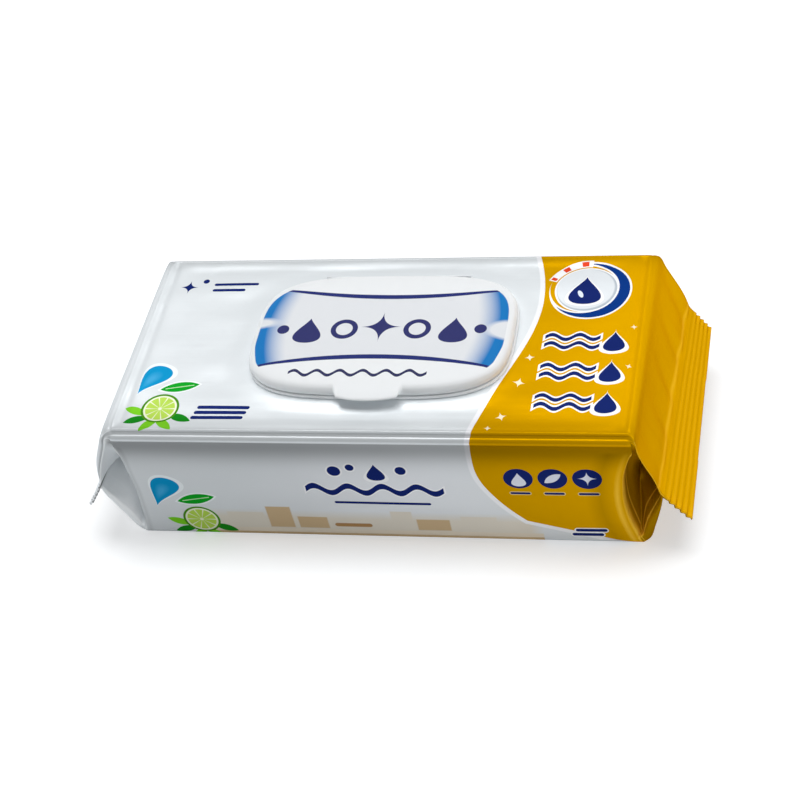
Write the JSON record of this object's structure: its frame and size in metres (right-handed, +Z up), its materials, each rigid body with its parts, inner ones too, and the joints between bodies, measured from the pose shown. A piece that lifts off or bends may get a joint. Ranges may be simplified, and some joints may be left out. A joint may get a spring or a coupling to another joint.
{
  "type": "wet wipes pack",
  "caption": "Gusseted film pack of wet wipes with crimped fin seals and a hinged flip-top lid over its resealable dispensing opening.",
  "frame": {"origin": "middle of the flat underside that the pack lies on", "axes": "+X runs along the pack towards its gold end, -Y points to the long side with the lid's thumb tab, +Z is up through the lid"},
  "size_m": [0.2384, 0.101, 0.066],
  "materials": {
    "printed_film": "glossy metallised film, silver-white with a gold end",
    "label_film": "satin label film",
    "white_plastic": "satin white moulding"
  },
  "bodies": {
    "pack": {"film_pack": "printed_film", "peel_seal": "label_film", "lid_frame": "white_plastic"},
    "lid": {"flip_lid": "white_plastic"}
  },
  "joints": [
    {"name": "lid_hinge", "type": "hinge", "parent": "pack", "child": "lid", "pos_m": [0, 0.0338, 0.0608], "axis": [-1, 0, 0], "range_deg": [0, 135]}
  ]
}
